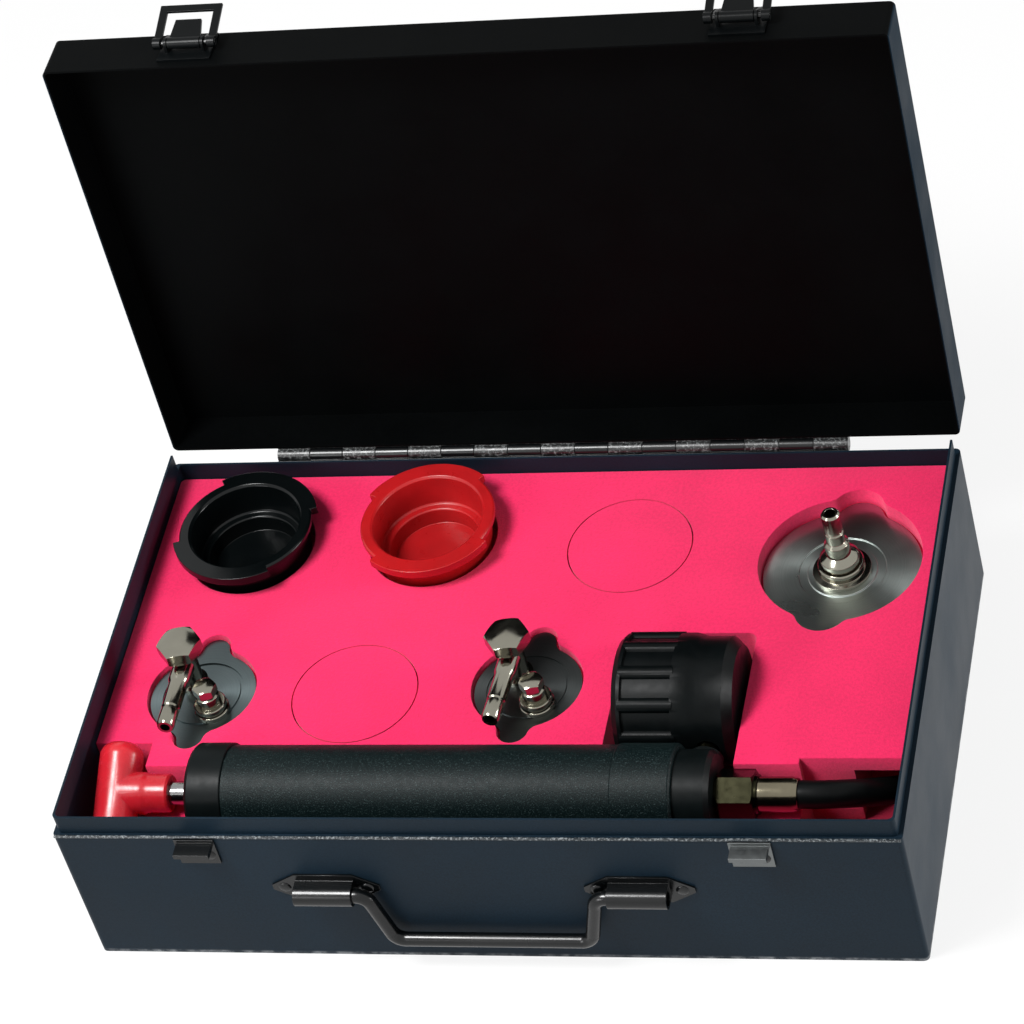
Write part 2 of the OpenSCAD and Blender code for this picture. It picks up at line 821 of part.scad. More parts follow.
module pump_trough() {
    left = rear_cap_x - 1.2;
    right = nut_x + tilt_room;
    x_rod(left, right, trough_r, pump_y, pump_z);
    span_box([left, pump_y - trough_r, pump_z], [right, pump_y + trough_r, foam_top + 1]);
    span_box([-half_w, -half_d, foam_top - front_drop], [half_w, pump_y - shank_r, foam_top + 1]);
    tee_half = tee_len / 2 + pocket_gap;
    tee_floor = pump_z - tee_r - tee_len / 2 * sin(tee_turn) - seat;
    span_box([-half_w, pump_y - tee_half, tee_floor],
             [tee_x + tee_r + 2, pump_y + tee_half, foam_top + 1]);
    span_box([tee_x, pump_y - shank_r - shank_gap, pump_z - tee_r - seat],
             [left + 1, pump_y + shank_r + shank_gap, foam_top + 1]);
    span_box([nut_x - 1, pump_y - nut_af / 2 - 3, pump_z - nut_af / 2 - 1.5],
             [half_w, pump_y + nut_af / 2 + 2, foam_top + 1]);
}

module gauge_pocket() {
    depth = gauge_pocket_rear - pump_y;
    width = gauge_pocket_right - gauge_pocket_left;
    translate([gauge_pocket_left + width / 2, pump_y + depth / 2, gauge_floor])
        linear_extrude(foam_top)
            round_rect(width, depth, 4);
}

// Way of the hose from the trough down to the lower layer, under the deck's top skin
module hose_tunnel() {
    for (i = [hose_dip:4:hose_dive])
        span_box([hose_route[i][0] - hose_d / 2 - 2, hose_route[i][1] - hose_d, deck_z - 1],
                 [half_w, hose_route[i + 4][1] + hose_d / 2, hose_route[i][2] + hose_d / 2 + 1]);
}

// Recess with the outline of a bayonet plate, and the deeper hole for its seal
module plate_pocket(at, plate_r, tip, ear_w, seal_r) {
    translate([at[0], at[1], 0])
        rotate(at[2]) {
            translate([0, 0, at[3] - seat])
                linear_extrude(foam_top)
                    plate_outline(plate_r + pocket_gap, tip + pocket_gap, ear_w + 2 * pocket_gap,
                                  ear_fillet - pocket_gap);
            z_rod(at[3] - seal_t - hub_flange_t - 2, foam_top, seal_r + pocket_gap);
        }
}

// ---------------------------------------------------------------- pump

module pump_barrel() {
    color(c_rubber)
        turned_x(barrel_x - cap_grip, [
            [0, bore_r], [0, barrel_r - 2], [cap_grip, barrel_r - 2], [cap_grip, barrel_r],
            [cap_grip + barrel_len, barrel_r], [cap_grip + barrel_len, barrel_r - 2],
            [2 * cap_grip + barrel_len, barrel_r - 2], [2 * cap_grip + barrel_len, bore_r]
        ], pump_y, pump_z);
}

module pump_rear_cap() {
    hole = rod_r + run_fit;
    color(c_rubber)
        turned_x(rear_cap_x, [
            [0, hole], [0, rear_cap_r - 1.5], [1.5, rear_cap_r], [rear_cap_len, rear_cap_r],
            [rear_cap_len, barrel_r - 2], [rear_cap_len - cap_grip, barrel_r - 2],
            [rear_cap_len - cap_grip, hole]
        ], pump_y, pump_z);
}

module pump_front_cap() {
    depth = front_cap_len;
    color(c_rubber)
        turned_x(front_cap_x, [
            [0, barrel_r - 2], [0, front_cap_r], [depth - 1, front_cap_r], [depth, front_cap_r - 1],
            [depth, 10], [depth - valve_t - 1, 10], [depth - valve_t - 1, 3], [cap_grip, 3],
            [cap_grip, barrel_r - 2]
        ], pump_y, pump_z);
}

module check_valve_disc() {
    color(c_rubber)
        x_rod(head_x - valve_t - 1, head_x - 1, 8, pump_y, pump_z);
}

module pump_head() {
    color(c_rubber)
        difference() {
            union() {
                turned_x(head_x, [
                    [0, 0], [0, head_r], [head_len - 2, head_r], [head_len, head_r - 2], [head_len, 0]
                ], pump_y, pump_z);
                y_rod(pump_y, pump_y + head_r + 1.2, stem_r + 2.5, stem_x, pump_z);
            }
            x_rod(head_x - 1, nut_x + 1, 3, pump_y, pump_z);
            y_rod(pump_y + 8, pump_y + head_r + 3, stem_r, stem_x, pump_z);
            y_rod(pump_y, pump_y + 9, 2, stem_x, pump_z);
        }
}

module piston_rod() {
    color(c_chrome)
        x_rod(shank_x - 10, piston_back - piston_len, rod_r, pump_y, pump_z);
}

module piston() {
    color(c_brass)
        turned_x(piston_back - piston_len, [
            [0, 0], [0, bore_r - 0.5], [3, bore_r - 0.5], [3, bore_r - 4], [7, bore_r - 4],
            [7, bore_r - 0.5], [piston_len, bore_r - 0.5], [piston_len, 0]
        ], pump_y, pump_z);
}

module piston_cup_seal() {
    color(c_rubber)
        turned_x(piston_back - piston_len + 3, [
            [0, bore_r - 4], [0, bore_r - run_fit], [4, bore_r - run_fit], [4, bore_r - 4]
        ], pump_y, pump_z);
}

// Cross bar along Y with rounded ends, and the shank that holds the rod
module t_handle() {
    end_r = 6.5;
    half = tee_len / 2;
    color(c_red)
        difference() {
            union() {
                translate([tee_x, pump_y, pump_z])
                    rotate([90 + tee_turn, 0, 0])
                        translate([0, 0, -half])
                            rotate_extrude()
                                difference() {
                                    union() {
                                        translate([0, end_r])
                                            square([tee_r, tee_len - 2 * end_r]);
                                        square([tee_r - end_r, tee_len]);
                                        for (y = [end_r, tee_len - end_r])
                                            translate([tee_r - end_r, y])
                                                circle(end_r);
                                    }
                                    translate([-2 * tee_r, -1])
                                        square([2 * tee_r, tee_len + 2]);
                                }
                turned_x(tee_x, [
                    [0, 0], [0, tee_r - 0.2], [tee_r + 3, shank_r + 0.8], [tee_r + 6, shank_r],
                    [tee_r + shank_len - 1, shank_r], [tee_r + shank_len, shank_r - 0.8],
                    [tee_r + shank_len, 0]
                ], pump_y, pump_z);
            }
            x_rod(shank_x - 10, shank_x + 1, rod_r, pump_y, pump_z);
        }
}

// ---------------------------------------------------------------- gauge

module gauge_case() {
    back = gauge_x + boot_len - 5;
    front = lens_x - 1;
    color(c_bare)
        difference() {
            turned_x(front, [
                [0, gauge_case_r - gauge_wall], [0, gauge_case_r], [back - front, gauge_case_r],
                [back - front, 0], [back - front - 2, 0],
                [back - front - 2, gauge_case_r - gauge_wall]
            ], gauge_y, pump_z);
            y_rod(gauge_y - gauge_case_r - 1, gauge_y - gauge_case_r + gauge_wall + 2, stem_r,
                  stem_x, pump_z);
        }
}

// Rubber boot: ribbed front ring, shoulder and plainer back
module gauge_boot() {
    inner = gauge_case_r + 0.1;
    rib_in = boot_r - boot_rib_h;
    ring_r = boot_r - 0.5;
    color(c_rubber)
        difference() {
            union() {
                turned_x(gauge_x, [
                    [0, inner - 3], [0, rib_in - 0.5], [2.5, ring_r], [4, ring_r], [4, rib_in],
                    [boot_front_len - 6, rib_in], [boot_front_len - 6, ring_r],
                    [boot_front_len, ring_r], [boot_front_len + 5, gauge_back_r],
                    [boot_len - 4, gauge_back_r], [boot_len, gauge_back_r - 4], [boot_len, 0],
                    [boot_len - 5 + 0.3, 0], [boot_len - 5 + 0.3, inner], [1.8, inner],
                    [1.8, inner - 3]
                ], gauge_y, pump_z);
                boot_rib_bars(gauge_x + 3, gauge_x + boot_front_len - 5, rib_in - 0.6);
            }
            y_rod(gauge_y - boot_r - 1, gauge_y - gauge_case_r + 1, stem_r + 0.6, stem_x, pump_z);
        }
}

// Half-round grip ribs between the boot's two rings
module boot_rib_bars(x0, x1, inside_r) {
    difference() {
        for (i = [0:boot_ribs - 1])
            translate([0, gauge_y, pump_z])
                rotate([(i + 0.5) * 360 / boot_ribs, 0, 0])
                    x_rod(x0, x1, boot_rib_r, 0, boot_r - boot_rib_r);
        x_rod(x0 - 1, x1 + 1, inside_r, gauge_y, pump_z);
    }
}

module gauge_stem() {
    color(c_brass)
        difference() {
            y_rod(pump_y + 9, gauge_y - gauge_case_r + 3, stem_r - 0.02, stem_x, pump_z);
            y_rod(pump_y + 8, gauge_y - gauge_case_r + 4, 1.5, stem_x, pump_z);
        }
}

module gauge_dial() {
    color("white")
        difference() {
            x_rod(dial_x, dial_x + 1, gauge_case_r - gauge_wall - 0.1, gauge_y, pump_z);
            x_rod(dial_x - 1, dial_x + 2, 1.2, gauge_y, pump_z);
        }
}

// Pointer with its spindle, at the zero of a 270 degree scale
module gauge_pointer() {
    long = gauge_case_r - 7;
    color("black")
        translate([dial_x, gauge_y, pump_z]) {
            x_rod(-2.2, 5, 1.1);
            x_rod(-2.2, -0.8, 2.6);
            rotate([-135, 0, 0])
                translate([-1.6, 0, 0])
                    rotate([90, 0, 90])
                        linear_extrude(0.8)
                            polygon([[-1.2, -6], [1.2, -6], [0.4, long], [-0.4, long]]);
        }
}

module gauge_lens() {
    color("white", 0.35)
        x_rod(lens_x, lens_x + 1.5, gauge_case_r - gauge_wall - 0.1, gauge_y, pump_z);
}

// ---------------------------------------------------------------- hose

module hose_nut() {
    color(c_brass)
        translate([nut_x, pump_y, pump_z])
            rotate([0, 90, 0])
                difference() {
                    union() {
                        hex_z(1.5, nut_len - 1.5, nut_af);
                        z_rod(0, nut_len, nut_af / 2 - 1);
                    }
                    z_rod(-1, nut_len + 1, 3);
                }
}

module hose_ferrule() {
    color(c_chrome)
        turned_x(ferrule_x, [
            [0, 3], [0, ferrule_r], [ferrule_len - 3, ferrule_r], [ferrule_len, ferrule_r - 0.8],
            [ferrule_len, 3]
        ], pump_y, pump_z);
}

function unit(v) = v / norm(v);
function route_dir(i) =
    unit(hose_route[min(i + 1, len(hose_route) - 1)] - hose_route[max(i - 1, 0)]);

// One ring of the hose, square to the route at point i
function hose_ring(i) =
    let (t = route_dir(i), u = unit(cross(t, [0, 0, 1])), v = cross(u, t), r = hose_d / 2)
    [for (k = [0:hose_sides - 1])
        hose_route[i] + r * (cos(360 * k / hose_sides) * u + sin(360 * k / hose_sides) * v)];

module hose() {
    n = len(hose_route);
    s = hose_sides;
    points = [for (i = [0:n - 1]) each hose_ring(i)];
    walls = [
        for (i = [0:n - 2], k = [0:s - 1])
            let (a = i * s + k, b = i * s + (k + 1) % s)
            each [[a, b, a + s], [b, b + s, a + s]]
    ];
    first = [[for (k = [s - 1:-1:0]) k]];
    last = [[for (k = [0:s - 1]) (n - 1) * s + k]];
    color(c_rubber)
        polyhedron(points, concat(walls, first, last));
}

module quick_coupler() {
    l = coupler_len;
    color(c_brass)
        turned_x(hose_end[0] - l, [
            [0, 4.3], [0, coupler_r - 1], [1, coupler_r], [8, coupler_r], [8, coupler_r - 2],
            [30, coupler_r - 2], [30, coupler_r + 0.5], [l - 8, coupler_r + 0.5],
            [l - 8, 7], [l, 7], [l, 2.5], [20, 2.5], [20, 4.3]
        ], hose_end[1], hose_end[2]);
}

module quick_coupler_sleeve() {
    inner = coupler_r - 2 + run_fit;
    color(c_chrome)
        turned_x(hose_end[0] - coupler_len + 8.3, [
            [0, inner], [0, coupler_sleeve_r - 1], [1, coupler_sleeve_r],
            [coupler_sleeve_len - 1, coupler_sleeve_r], [coupler_sleeve_len - 0.5, coupler_sleeve_r - 1],
            [coupler_sleeve_len - 0.5, inner]
        ], hose_end[1], hose_end[2]);
}

// ---------------------------------------------------------------- cups

// Filler-neck cup with a flat rim, two lugs, a stepped inside and a floor
module cup(at, paint) {
    rim_z = cup_h - cup_rim_t;
    inside_r = cup_body_r - cup_wall;
    step_r = inside_r - cup_step_w;
    color(paint)
        translate([at[0], at[1], cup_z])
            rotate(at[2]) {
                turned_z(0, [
                    [0, 0], [0, cup_foot_r - 1], [1, cup_foot_r], [rim_z, cup_body_r],
                    [rim_z, cup_rim_r - 0.6], [rim_z + 0.6, cup_rim_r], [cup_h - 0.8, cup_rim_r],
                    [cup_h, cup_rim_r - 0.8], [cup_h, inside_r + 1], [cup_h - 1, inside_r],
                    [cup_step_z + 0.8, inside_r - 1], [cup_step_z, inside_r - 1.8],
                    [cup_step_z, step_r + 0.6], [cup_step_z - 0.6, step_r],
                    [cup_floor_t, step_r - 0.6], [cup_floor_t, 0]
                ]);
                for (s = [0, 180])
                    rotate(s)
                        cup_lug(rim_z);
            }
}

module cup_lug(rim_z) {
    translate([0, 0, rim_z - (cup_lug_t - cup_rim_t)])
        linear_extrude(cup_lug_t)
            intersection() {
                difference() {
                    circle(cup_lug_r);
                    circle(cup_rim_r - 1.5);
                }
                polygon([
                    [0, 0],
                    for (a = [90 - cup_lug_angle / 2:13:90 + cup_lug_angle / 2])
                        1.3 * cup_lug_r * [cos(a), sin(a)]
                ]);
            }
}

module black_cup() {
    cup(black_cup_at, c_rubber);
}

module red_cup() {
    cup(red_cup_at, c_red);
}

// ---------------------------------------------------------------- bayonet adapters

// Disc with two opposite round ears, joined by fillets that touch both
module plate_outline(r, tip, ear_w, fillet) {
    half = ear_w / 2;
    ear_y = tip - half;
    far = r + fillet;
    near = half + fillet;
    cy = (far * far - near * near + ear_y * ear_y) / (2 * ear_y);
    c = [sqrt(far * far - cy * cy), cy];
    circle(r);
    for (turn = [0, 180])
        rotate(turn) {
            translate([0, ear_y])
                circle(half);
            for (s = [0, 1])
                mirror([s, 0])
                    difference() {
                        polygon([[0, 0], c, [0, ear_y]]);
                        translate(c)
                            circle(fillet + fillet_ease);
                    }
        }
}

// Plate with its pressed ring, hub and lower flange; ports are the passages' places
module bayonet_plate(at, plate_r, tip, ear_w, ring_in, ring_out, ports) {
    hub_z = -seal_t - seal_gap;
    color(c_chrome)
        translate([at[0], at[1], at[3]])
            rotate(at[2])
                difference() {
                    union() {
                        linear_extrude(plate_t)
                            plate_outline(plate_r, tip, ear_w, ear_fillet);
                        z_rod(hub_z, eps, hub_r);
                        z_rod(hub_z - hub_flange_t, hub_z + eps, hub_flange_r);
                    }
                    translate([0, 0, plate_t - groove_depth])
                        linear_extrude(groove_depth + 1)
                            difference() {
                                circle(ring_out);
                                circle(ring_in);
                            }
                    for (p = ports)
                        z_rod(hub_z - hub_flange_t - 2, plate_t + 1, port_r, p[0], p[1]);
                }
}

module seal_ring(at, seal_r) {
    color(c_rubber)
        translate([at[0], at[1], at[3] - seal_t])
            difference() {
                cylinder(r = seal_r, h = seal_t);
                z_rod(-1, seal_t + 1, hub_r + seal_gap);
            }
}

module large_adapter_plate() {
    bayonet_plate(large_at, big_plate_r, big_ear_tip, big_ear_w, 15.5, 19.5, [[0, 0]]);
}

// Stepped foot, cone and quick-connect stem with its groove
module large_adapter_nipple() {
    h = big_nipple_h;
    color(c_chrome)
        translate([large_at[0], large_at[1], 0])
            turned_z(large_at[3] + plate_t, [
                [0, 2.4], [0, 13], [1.6, 13], [2.2, 10.4], [5.4, 10.4], [6, 9.8], [6, 8],
                [7, 8], [7, 8.8], [9.4, 8.8], [10, 8.2], [12, 5.5], [18, 5.5], [19.5, 4.2],
                [h - 12, 4.2], [h - 11.4, 3.6], [h - 10.6, 3.6], [h - 10, 4.2], [h - 1, 4.2],
                [h, 3.4], [h, 2.4]
            ]);
}

module large_adapter_seal() {
    seal_ring(large_at, large_seal_r);
}

module small_plate(at) {
    bayonet_plate(at, small_plate_r, small_ear_tip, small_ear_w, 17, 18.6, [coupler_at, relief_at]);
}

// Upright body with the large hexagon on top and the quick-connect stem on its side
module side_coupler(at) {
    tube_z = coupler_h - 13;
    hex_z0 = coupler_h - 6;
    color(c_chrome)
        translate([at[0], at[1], at[3] + plate_t])
            rotate(at[2])
                difference() {
                    union() {
                        translate([coupler_at[0], coupler_at[1], 0]) {
                            turned_z(0, [
                                [0, 0], [0, 7], [1.5, 7], [2, 5.4], [coupler_h - 6, 5.4],
                                [coupler_h - 6, 0]
                            ]);
                            hex_z(hex_z0, coupler_h, coupler_af, 12);
                            z_rod(hex_z0 - 1.2, hex_z0 + eps, coupler_af / 2 - 0.8);
                        }
                        side_nipple(tube_z);
                    }
                    y_rod(side_nipple_y - 1, coupler_at[1] + 2.6, 2.2, coupler_at[0], tube_z);
                    z_rod(-1, tube_z + 1, port_r, coupler_at[0], coupler_at[1]);
                }
}

module side_nipple(tube_z) {
    l = coupler_at[1] - side_nipple_y - 3;
    translate([coupler_at[0], side_nipple_y, tube_z])
        rotate([-90, 0, 0])
            rotate_extrude()
                polygon([
                    [0, 0], [side_nipple_r - 0.8, 0], [side_nipple_r - 0.2, 1],
                    [side_nipple_r - 0.2, 9], [side_nipple_r - 0.7, 9.6],
                    [side_nipple_r - 0.7, 10.4], [side_nipple_r, 11], [side_nipple_r, l - 11],
                    [side_nipple_r + 0.7, l - 9], [side_nipple_r + 0.7, l], [0, l]
                ]);
}

// Small relief valve: two flange rings, body and a small hexagon
module relief_valve(at) {
    color(c_chrome)
        translate([at[0], at[1], at[3] + plate_t])
            rotate(at[2])
                translate([relief_at[0], relief_at[1], 0])
                    difference() {
                        union() {
                            turned_z(0, [
                                [0, 0], [0, 7.8], [2, 7.8], [2.4, 7.4], [2.4, 6.4], [3.4, 6.4],
                                [3.4, 7.2], [5.4, 7.2], [5.8, 6.8], [5.8, 5.2], [10.6, 5.2],
                                [11.2, 4.2], [12.2, 4.2], [12.2, 0]
                            ]);
                            hex_z(11.8, 16.5, 9.5, 20);
                        }
                        z_rod(-1, 9, port_r);
                    }
}

module left_adapter_plate() {
    small_plate(left_at);
}

module left_adapter_coupler() {
    side_coupler(left_at);
}

module left_adapter_relief_valve() {
    relief_valve(left_at);
}

module left_adapter_seal() {
    seal_ring(left_at, small_seal_r);
}

module right_adapter_plate() {
    small_plate(right_at);
}

module right_adapter_coupler() {
    side_coupler(right_at);
}

module right_adapter_relief_valve() {
    relief_valve(right_at);
}

module right_adapter_seal() {
    seal_ring(right_at, small_seal_r);
}

// ---------------------------------------------------------------- the kit

case_base();
case_lid();
hinge_base_leaf();
hinge_lid_leaf();
hinge_pin();
latch_bracket(-latch_x);  // latch_bracket_left
latch_bracket(latch_x);  // latch_bracket_right
latch_pin(-latch_x);  // latch_pin_left
latch_pin(latch_x);  // latch_pin_right
latch_lever(-latch_x);  // latch_lever_left
latch_lever(latch_x);  // latch_lever_right
latch_loop(-latch_x);  // latch_loop_left
latch_loop(latch_x);  // latch_loop_right
latch_rivets();
keeper(-latch_x);  // keeper_left
keeper(latch_x);  // keeper_right
keeper_rivets();
handle_bracket(-handle_span / 2);  // handle_bracket_left
handle_bracket(handle_span / 2);  // handle_bracket_right
handle_rivets();
carry_handle();
foam_base();
foam_deck();
pump_barrel();
pump_rear_cap();
pump_front_cap();
pump_head();
check_valve_disc();
piston_rod();
piston();
piston_cup_seal();
t_handle();
gauge_case();
gauge_boot();
gauge_stem();
gauge_dial();
gauge_pointer();
gauge_lens();
hose_nut();
hose_ferrule();
hose();
quick_coupler();
quick_coupler_sleeve();
black_cup();
red_cup();
large_adapter_plate();
large_adapter_nipple();
large_adapter_seal();
left_adapter_plate();
left_adapter_coupler();
left_adapter_relief_valve();
left_adapter_seal();
right_adapter_plate();
right_adapter_coupler();
right_adapter_relief_valve();
right_adapter_seal();
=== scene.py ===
import math

import bmesh
import bpy
from mathutils import Euler, Matrix, Vector


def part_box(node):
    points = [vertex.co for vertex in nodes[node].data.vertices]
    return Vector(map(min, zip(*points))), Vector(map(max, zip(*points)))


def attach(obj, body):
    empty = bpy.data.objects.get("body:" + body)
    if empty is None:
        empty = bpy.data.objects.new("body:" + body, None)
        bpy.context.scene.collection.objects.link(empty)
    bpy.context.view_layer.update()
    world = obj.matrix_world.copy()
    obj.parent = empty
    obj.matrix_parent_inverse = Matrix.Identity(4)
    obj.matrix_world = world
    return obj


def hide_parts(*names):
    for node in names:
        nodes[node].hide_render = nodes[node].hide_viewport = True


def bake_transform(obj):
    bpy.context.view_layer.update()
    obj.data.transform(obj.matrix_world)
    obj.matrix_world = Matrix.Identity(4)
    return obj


MM = 0.001

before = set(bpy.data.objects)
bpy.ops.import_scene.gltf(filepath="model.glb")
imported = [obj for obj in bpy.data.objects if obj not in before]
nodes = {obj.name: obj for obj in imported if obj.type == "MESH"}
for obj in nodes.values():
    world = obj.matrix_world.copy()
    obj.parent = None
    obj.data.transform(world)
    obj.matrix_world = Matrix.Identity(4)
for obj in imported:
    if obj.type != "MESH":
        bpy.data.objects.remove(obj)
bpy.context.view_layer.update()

# ------------------------------------------------------------------ camera

# Fitted to the case's edges in the photo.
camera_place = (0.50141, -1.17857, 1.37786)
camera_turn = (0.79889, 0.19924, 0.17306)
camera_sensor = 36
camera_lens = 147.0
camera_shift = (-0.0646, -0.0629)


def make_camera():
    data = bpy.data.cameras.new("camera")
    data.sensor_width = camera_sensor
    data.lens = camera_lens
    data.shift_x, data.shift_y = camera_shift
    camera = bpy.data.objects.new("camera", data)
    bpy.context.scene.collection.objects.link(camera)
    camera.location = camera_place
    camera.rotation_euler = Euler(camera_turn, "XYZ")
    bpy.context.scene.camera = camera


make_camera()

# ------------------------------------------------------------------ mesh helpers

weld_gap = 0.000002
flat_angle = math.radians(0.5)


def new_piece(name, mesh, body, material):
    """Links a mesh as a piece of the object, riding on a body if one is named."""
    piece = bpy.data.objects.new(name, mesh)
    bpy.context.scene.collection.objects.link(piece)
    piece.data.materials.append(material)
    if body:
        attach(piece, body)
    return piece


def mesh_from(bm, name, angle=32):
    """Turns a bmesh into a mesh, shaded smooth but sharp over edges steeper than angle."""
    mesh = bpy.data.meshes.new(name)
    bm.to_mesh(mesh)
    bm.free()
    stored = mesh.attributes.get("custom_normal")
    if stored:
        mesh.attributes.remove(stored)
    mesh.shade_smooth()
    mesh.set_sharp_from_angle(angle=math.radians(angle))
    return mesh


def sweep(name, points, radius, sides):
    """A round tube along a list of points, closed at both ends."""
    bm = bmesh.new()
    last = len(points) - 1
    rings = []
    side = None
    for i, point in enumerate(points):
        before, after = points[max(i - 1, 0)], points[min(i + 1, last)]
        along = (Vector(after) - Vector(before)).normalized()
        if side is None:
            side = along.orthogonal().normalized()
        side = (side - along * side.dot(along)).normalized()
        up = along.cross(side)
        ring = []
        for k in range(sides):
            a = 2 * math.pi * k / sides
            out = math.cos(a) * side + math.sin(a) * up
            ring.append(bm.verts.new(Vector(point) + radius * out))
        rings.append(ring)
    for ring, following in zip(rings, rings[1:]):
        for k in range(sides):
            j = (k + 1) % sides
            bm.faces.new((ring[k], ring[j], following[j], following[k]))
    bm.faces.new(list(reversed(rings[0])))
    bm.faces.new(rings[-1])
    bmesh.ops.recalc_face_normals(bm, faces=bm.faces)
    return mesh_from(bm, name)


def catmull(points, steps):
    """Smooth curve through the points, with a number of steps between each two."""
    ends = 2 * points[0] - points[1], 2 * points[-1] - points[-2]
    points = [ends[0]] + points + [ends[1]]
    out = []
    for a, b, c, d in zip(points, points[1:], points[2:], points[3:]):
        for step in range(steps):
            t = step / steps
            out.append(0.5 * (2 * b + (c - a) * t + (2 * a - 5 * b + 4 * c - d) * t * t
                              + (3 * b - a - 3 * c + d) * t ** 3))
    out.append(points[-2])
    return out


def centre_of(node):
    low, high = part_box(node)
    return (low + high) / 2


# ------------------------------------------------------------------ materials


class Nodes:
    """Short way to build a node tree for one Principled material.

    Noise scales are waves per metre, and bump distances are metres.
    """

    def __init__(self, name):
        self.material = bpy.data.materials.new(name)
        self.material.use_nodes = True
        self.tree = self.material.node_tree
        self.shader = self.tree.nodes["Principled BSDF"]
        self.place = self.tree.nodes.new("ShaderNodeTexCoord").outputs["Object"]

    def add(self, kind, **values):
        node = self.tree.nodes.new(kind)
        for key, value in values.items():
            setattr(node, key, value)
        return node

    def link(self, a, b):
        self.tree.links.new(a, b)

    def set(self, **values):
        for key, value in values.items():
            self.shader.inputs[key.replace("_", " ")].default_value = value

    def noise(self, scale, detail=3.0, rough=0.55):
        node = self.add("ShaderNodeTexNoise")
        node.inputs["Scale"].default_value = scale
        node.inputs["Detail"].default_value = detail
        node.inputs["Roughness"].default_value = rough
        self.link(self.place, node.inputs["Vector"])
        return node.outputs["Fac"]

    def axes(self, vector):
        """The X, Y and Z outputs of a vector output."""
        node = self.add("ShaderNodeSeparateXYZ")
        self.link(vector, node.inputs["Vector"])
        return node.outputs

    def ramp(self, source, stops):
        node = self.add("ShaderNodeValToRGB")
        while len(node.color_ramp.elements) < len(stops):
            node.color_ramp.elements.new(0.5)
        for element, (at, colour) in zip(node.color_ramp.elements, stops):
            element.position = at
            element.color = (*colour, 1)
        self.link(source, node.inputs["Fac"])
        return node.outputs["Color"]

    def shades(self, source, colour, low, high, at=(0.3, 0.7)):
        """One colour, darker or paler with a noise value."""
        return self.ramp(source, [(at[0], times(colour, low)), (at[1], times(colour, high))])

    def spread(self, source, low, high, at=(0.3, 0.7)):
        """Maps a noise value to a number between low and high."""
        node = self.add("ShaderNodeMapRange")
        node.inputs["From Min"].default_value = at[0]
        node.inputs["From Max"].default_value = at[1]
        node.inputs["To Min"].default_value = low
        node.inputs["To Max"].default_value = high
        self.link(source, node.inputs["Value"])
        return node.outputs["Result"]

    def bump(self, height, strength, distance, onto=None):
        node = self.add("ShaderNodeBump")
        node.inputs["Strength"].default_value = strength
        node.inputs["Distance"].default_value = distance
        self.link(height, node.inputs["Height"])
        if onto:
            self.link(onto, node.inputs["Normal"])
        return node.outputs["Normal"]

    def maths(self, operation, a, b=None):
        node = self.add("ShaderNodeMath", operation=operation)
        self.link(a, node.inputs[0])
        if b:
            self.link(b, node.inputs[1])
        return node.outputs["Value"]

    def vectors(self, operation, a, fixed=None):
        """A vector operation on an output, with a fixed second vector if it takes one."""
        node = self.add("ShaderNodeVectorMath", operation=operation)
        if fixed:
            node.inputs[1].default_value = fixed
        self.link(a, node.inputs[0])
        return node.outputs

    def mixed(self, factor, a, b):
        """Mixes two colour outputs by a factor output."""
        node = self.add("ShaderNodeMix", data_type="RGBA")
        self.link(factor, node.inputs["Factor"])
        self.link(a, node.inputs["A"])
        self.link(b, node.inputs["B"])
        return node.outputs["Result"]

    def colour(self, output):
        self.link(output, self.shader.inputs["Base Color"])

    def rough(self, output):
        self.link(output, self.shader.inputs["Roughness"])

    def normal(self, output):
        self.link(output, self.shader.inputs["Normal"])


def times(colour, factor):
    return tuple(min(1.0, c * factor) for c in colour)


def grained(n, colour):
    """Fine grain and wide clouds of one paint colour."""
    cloud = n.noise(14, 4)
    even = n.shades(cloud, colour, 0.85, 1.2)
    coarse = n.shades(cloud, colour, 0.55, 0.85)
    grain = n.spread(n.noise(1100, 3, 0.6), 0, 1, (0.35, 0.65))
    return n.mixed(grain, coarse, even)


def outside_of_lid(n, half_w):
    """1 on the lid's back and on the outer faces of its sides, 0 on the rest of it."""
    facing = n.axes(n.add("ShaderNodeTexCoord").outputs["Normal"])
    back = n.spread(facing["Y"], 0, 1, (0.3, 0.6))
    off_middle = n.maths("ABSOLUTE", n.axes(n.place)["X"])
    side = n.spread(off_middle, 0, 1, (half_w - 0.6 * MM, half_w - 0.3 * MM))
    return n.maths("MAXIMUM", back, side)


def worn_foot(n, paint_colour, height):
    """Rubs the paint through in patches, up to a height above the floor."""
    low = n.spread(n.axes(n.place)["Z"], 1, 0, (height * 0.5, height))
    patchy = n.spread(n.noise(160, 4), 0.1, 1, (0.42, 0.6))
    bare = n.ramp(n.noise(500, 2), [(0.3, (0.10, 0.11, 0.12)), (0.7, (0.2, 0.21, 0.22))])
    return n.mixed(n.maths("MULTIPLY", low, patchy), paint_colour, bare)


def enamel(name, colour, rough, peel=0.06, gloss=0.3, worn_below=0.0, outside=None):
    """Sprayed enamel on sheet steel, with orange peel and faint smudges.

    worn_below is the height of the wear at its foot, and outside the lid's outer colour.
    """
    n = Nodes(name)
    paint_colour = grained(n, colour)
    if outside:
        lid_half_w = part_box("case_lid")[1].x
        paint_colour = n.mixed(outside_of_lid(n, lid_half_w), paint_colour, grained(n, outside))
    if worn_below:
        paint_colour = worn_foot(n, paint_colour, worn_below)
    n.colour(paint_colour)
    n.rough(n.spread(n.noise(28, 3, 0.5), *rough))
    fine = n.bump(n.noise(1400, 2), peel, 0.0002)
    n.normal(n.bump(n.noise(260, 2), peel, 0.0006, fine))
    n.set(Specular_IOR_Level=gloss)
    return n.material


